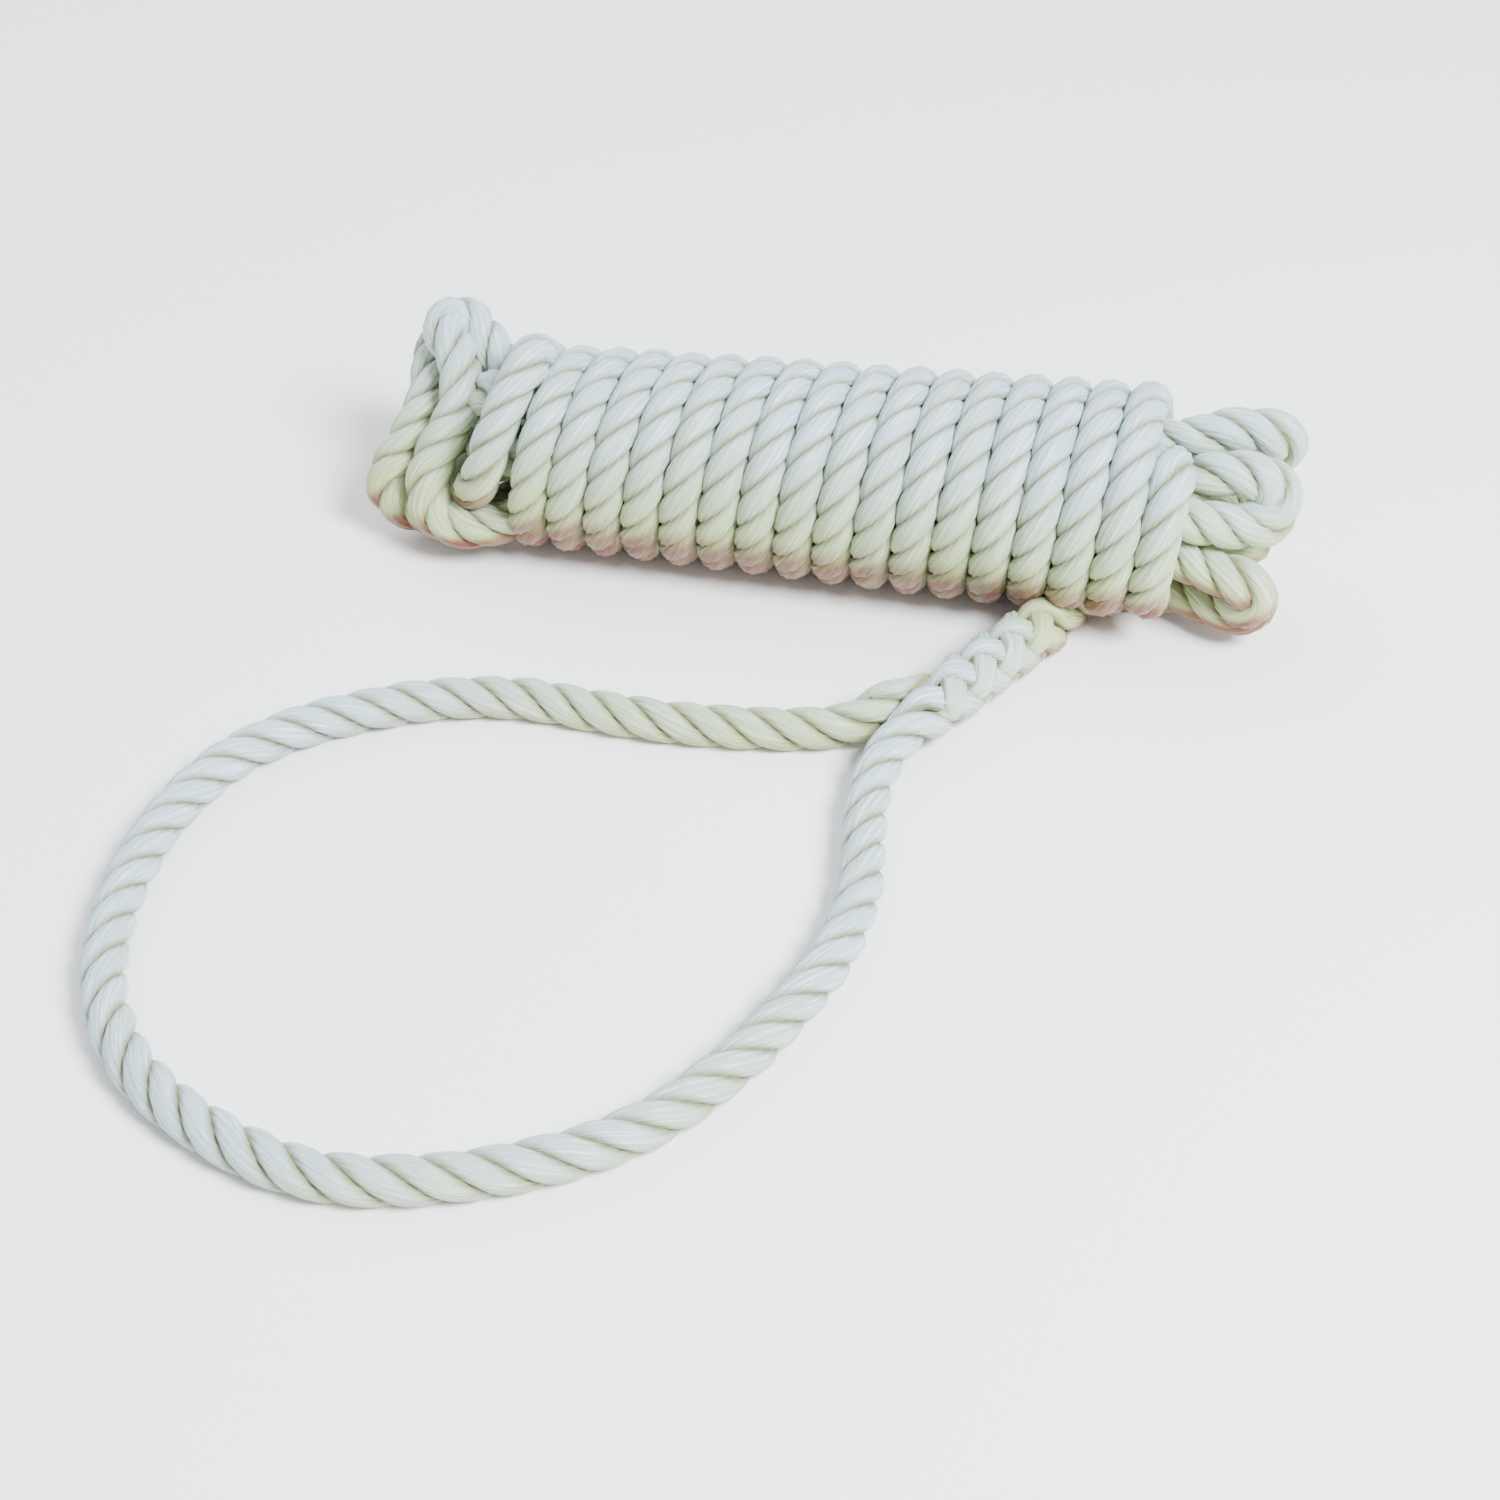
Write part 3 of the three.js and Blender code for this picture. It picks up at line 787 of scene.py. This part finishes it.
def grey(nodes, links, value):
    """A grey colour socket from a value, for mixing two heights."""
    join = add(nodes, "ShaderNodeCombineColor")
    for socket in join.inputs[:3]:
        links.new(value, socket)
    return join.outputs[0]


def plain_material(name, color, roughness):
    """A small part's own finish, with a faint mottle."""
    material = bpy.data.materials.new(name)
    material.use_nodes = True
    nodes, links = material.node_tree.nodes, material.node_tree.links
    shader = nodes["Principled BSDF"]
    noise = add(nodes, "ShaderNodeTexNoise")
    set_inputs(noise, Scale=600.0, Detail=3.0)
    links.new(add(nodes, "ShaderNodeTexCoord").outputs["Object"], noise.inputs["Vector"])
    darker = tuple(0.6 * c for c in color[:3]) + (1,)
    mottle = mixed(nodes, links, curve(nodes, links, noise.outputs[0], 0.35, 0.7, 0.0, 0.7), color, darker)
    links.new(mottle, shader.inputs["Base Color"])
    shader.inputs["Roughness"].default_value = roughness
    bump = add(nodes, "ShaderNodeBump")
    bump.inputs["Strength"].default_value = 0.5
    bump.inputs["Distance"].default_value = 0.0005
    links.new(noise.outputs[0], bump.inputs["Height"])
    links.new(bump.outputs[0], shader.inputs["Normal"])
    return material


ROPE = rope_material()


def everywhere(s):
    """For a stretch of rope that is seen all along."""
    return True


def folds_visible(s):
    """For the folded runs, which are seen only past the ends of the turns."""
    x = np.interp(s, ALONG, ROUTE[:, 0])
    return x < RUN_LEFT_X or x > RUN_RIGHT_X


def rope_piece(name, parts, nodes=()):
    piece = mesh_object(name, parts, ROPE)
    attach(piece, BODY)
    if nodes:
        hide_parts(*nodes)
    return piece


TUCKS = rope_piece("splice_tucks", tucked_strands())

# ---- The bare end: a twine whipping and a melted tip ----
END_AT = Vector(LAST_TURN[-1])
END_TOWARDS = Vector((0, 1, 0))
WHIP_FROM = -0.0086            # along the rope from its end
WHIP_TURNS = 8
WHIP_POINTS = 28               # points for each turn of twine
TWINE_D = 0.00112
TWINE_PITCH = 0.97 * TWINE_D   # the turns of twine are pulled a little into each other
TWINE_YARN_TURN = 0.0015       # length of twine for one radian of its yarns' turn
TWINE_TONE = 0.4
TWINE_WHITE = (0.66, 0.64, 0.52, 1)
TWINE_CREAM = (0.58, 0.53, 0.36, 1)
TIP_YELLOW = (0.62, 0.55, 0.36, 1)
TIP_ROUGHNESS = 0.32
TIP_SIDES = 28
TIP_CROWN = 0.0036             # how far the middle of the tip stands past the rope's end
TIP_PROFILE = (                # distance along and radius, from the rope to the crown
    (0.0, 0.0046), (0.0007, 0.0051), (0.0016, 0.0050), (0.0026, 0.0043), (0.0033, 0.0030),
)


def whipping():
    """The twine round the bare end, as one long strand."""
    turn = np.arange(WHIP_TURNS * WHIP_POINTS) / WHIP_POINTS
    angle = 2 * math.pi * turn
    outward = np.column_stack([np.cos(angle), np.zeros(len(turn)), np.sin(angle)])
    from_end = WHIP_FROM + 0.5 * TWINE_D + turn * TWINE_PITCH
    centres = np.array(END_AT) + outward * (0.5 * ROPE_D) + np.outer(from_end, END_TOWARDS)
    along = turn * math.pi * ROPE_D
    core = centres - outward * 0.5 * ROPE_D
    half = 0.5 * TWINE_D
    return [strand_mesh(centres, outward, half, half, along / TWINE_YARN_TURN, along, TWINE_TONE, core)]


def melted_tip():
    """A rope end sealed by heat: a blunt, uneven bead."""
    sides = TIP_SIDES
    vertices, faces = [], []
    for along, radius in TIP_PROFILE:
        for k in range(sides):
            angle = 2 * math.pi * k / sides
            swell = 1 + 0.05 * math.cos(3 * angle + 0.6) + 0.03 * math.cos(7 * angle + along * 900)
            x, z = radius * swell * math.cos(angle), radius * swell * math.sin(angle)
            vertices.append((END_AT.x + x, END_AT.y + along, END_AT.z + z))
    rows = len(TIP_PROFILE)
    for row in range(rows - 1):
        for k in range(sides):
            after = (k + 1) % sides
            a, b = row * sides + k, row * sides + after
            faces.append((a, a + sides, b + sides, b))
    faces.append(tuple(range(sides)))
    vertices.append((END_AT.x, END_AT.y + TIP_CROWN, END_AT.z))
    top = len(vertices) - 1
    for k in range(sides):
        faces.append(((rows - 1) * sides + k, top, (rows - 1) * sides + (k + 1) % sides))
    mesh = bpy.data.meshes.new("rope_tip")
    mesh.from_pydata(vertices, [], faces)
    mesh.polygons.foreach_set("use_smooth", [True] * len(mesh.polygons))
    mesh.materials.append(plain_material("melted_fibre", TIP_YELLOW, TIP_ROUGHNESS))
    piece = bpy.data.objects.new("rope_tip", mesh)
    bpy.context.collection.objects.link(piece)
    return piece


TWINE = mesh_object("tail_whipping", whipping(), rope_material("waxed_twine", TWINE_WHITE, TWINE_CREAM))
TIP = melted_tip()
for piece, node, slot in ((TWINE, "end_whipping", "whipping_twine"), (TIP, "sealed_tip", "melted_fibre")):
    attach(piece, BODY)
    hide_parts(node)

# ---- The rope's own pieces, one for each stretch along it ----
CORDS = [
    ("rope_eye", 0.0, S_LEAD, everywhere, ("eye_loop", "eye_splice", "standing_part")),
    ("rope_folds", S_LEAD, S_FIRST_TURN, folds_visible, (
        "folded_runs", "left_bight_inner", "left_bight_outer", "right_bight_top", "right_bight_middle",
        "right_bight_front", "right_bight_back")),
    ("rope_turns_right", S_FIRST_TURN, S_MIDDLE_TURN, everywhere, ("frapping_turns",)),
    ("rope_turns_left", S_MIDDLE_TURN, S_END, everywhere, ("last_turn", "bare_end")),
]
for name, s_from, s_to, visible, nodes in CORDS:
    parts, line = rope_stretch(s_from, s_to, visible)
    piece = rope_piece(name, parts, nodes)

# ---- Floor and light ----
FLOOR_HALF = 3.0


def make_stage():
    mesh = bpy.data.meshes.new("floor")
    corners = [(FLOOR_HALF * x, FLOOR_HALF * y, 0) for x, y in ((-1, -1), (1, -1), (1, 1), (-1, 1))]
    mesh.from_pydata(corners, [], [(0, 1, 2, 3)])
    floor = bpy.data.objects.new("floor", mesh)
    bpy.context.collection.objects.link(floor)
    material = bpy.data.materials.new("pale_floor")
    material.use_nodes = True
    shader = material.node_tree.nodes["Principled BSDF"]
    shader.inputs["Base Color"].default_value = (0.96, 0.96, 0.955, 1)
    shader.inputs["Roughness"].default_value = 0.9
    mesh.materials.append(material)


def make_light(name, at, target, size, power, color):
    data = bpy.data.lights.new(name, "AREA")
    data.shape = "DISK"
    data.size = size
    data.energy = power
    data.color = color
    light = bpy.data.objects.new(name, data)
    bpy.context.collection.objects.link(light)
    light.location = at
    light.rotation_euler = (Vector(target) - Vector(at)).to_track_quat("-Z", "Y").to_euler()


make_stage()
make_light("key", at=(0.70, -0.42, 0.95), target=(0, 0.02, 0), size=0.5, power=52, color=(0.94, 0.98, 1.0))
make_light("fill", at=(-0.6, 0.6, 0.9), target=(0, 0, 0), size=1.2, power=12, color=(0.90, 0.96, 1.0))
world = bpy.data.worlds.new("world")
bpy.context.scene.world = world
world.use_nodes = True
background = world.node_tree.nodes["Background"]
background.inputs["Color"].default_value = (0.95, 0.96, 1.0, 1)
background.inputs["Strength"].default_value = 0.95
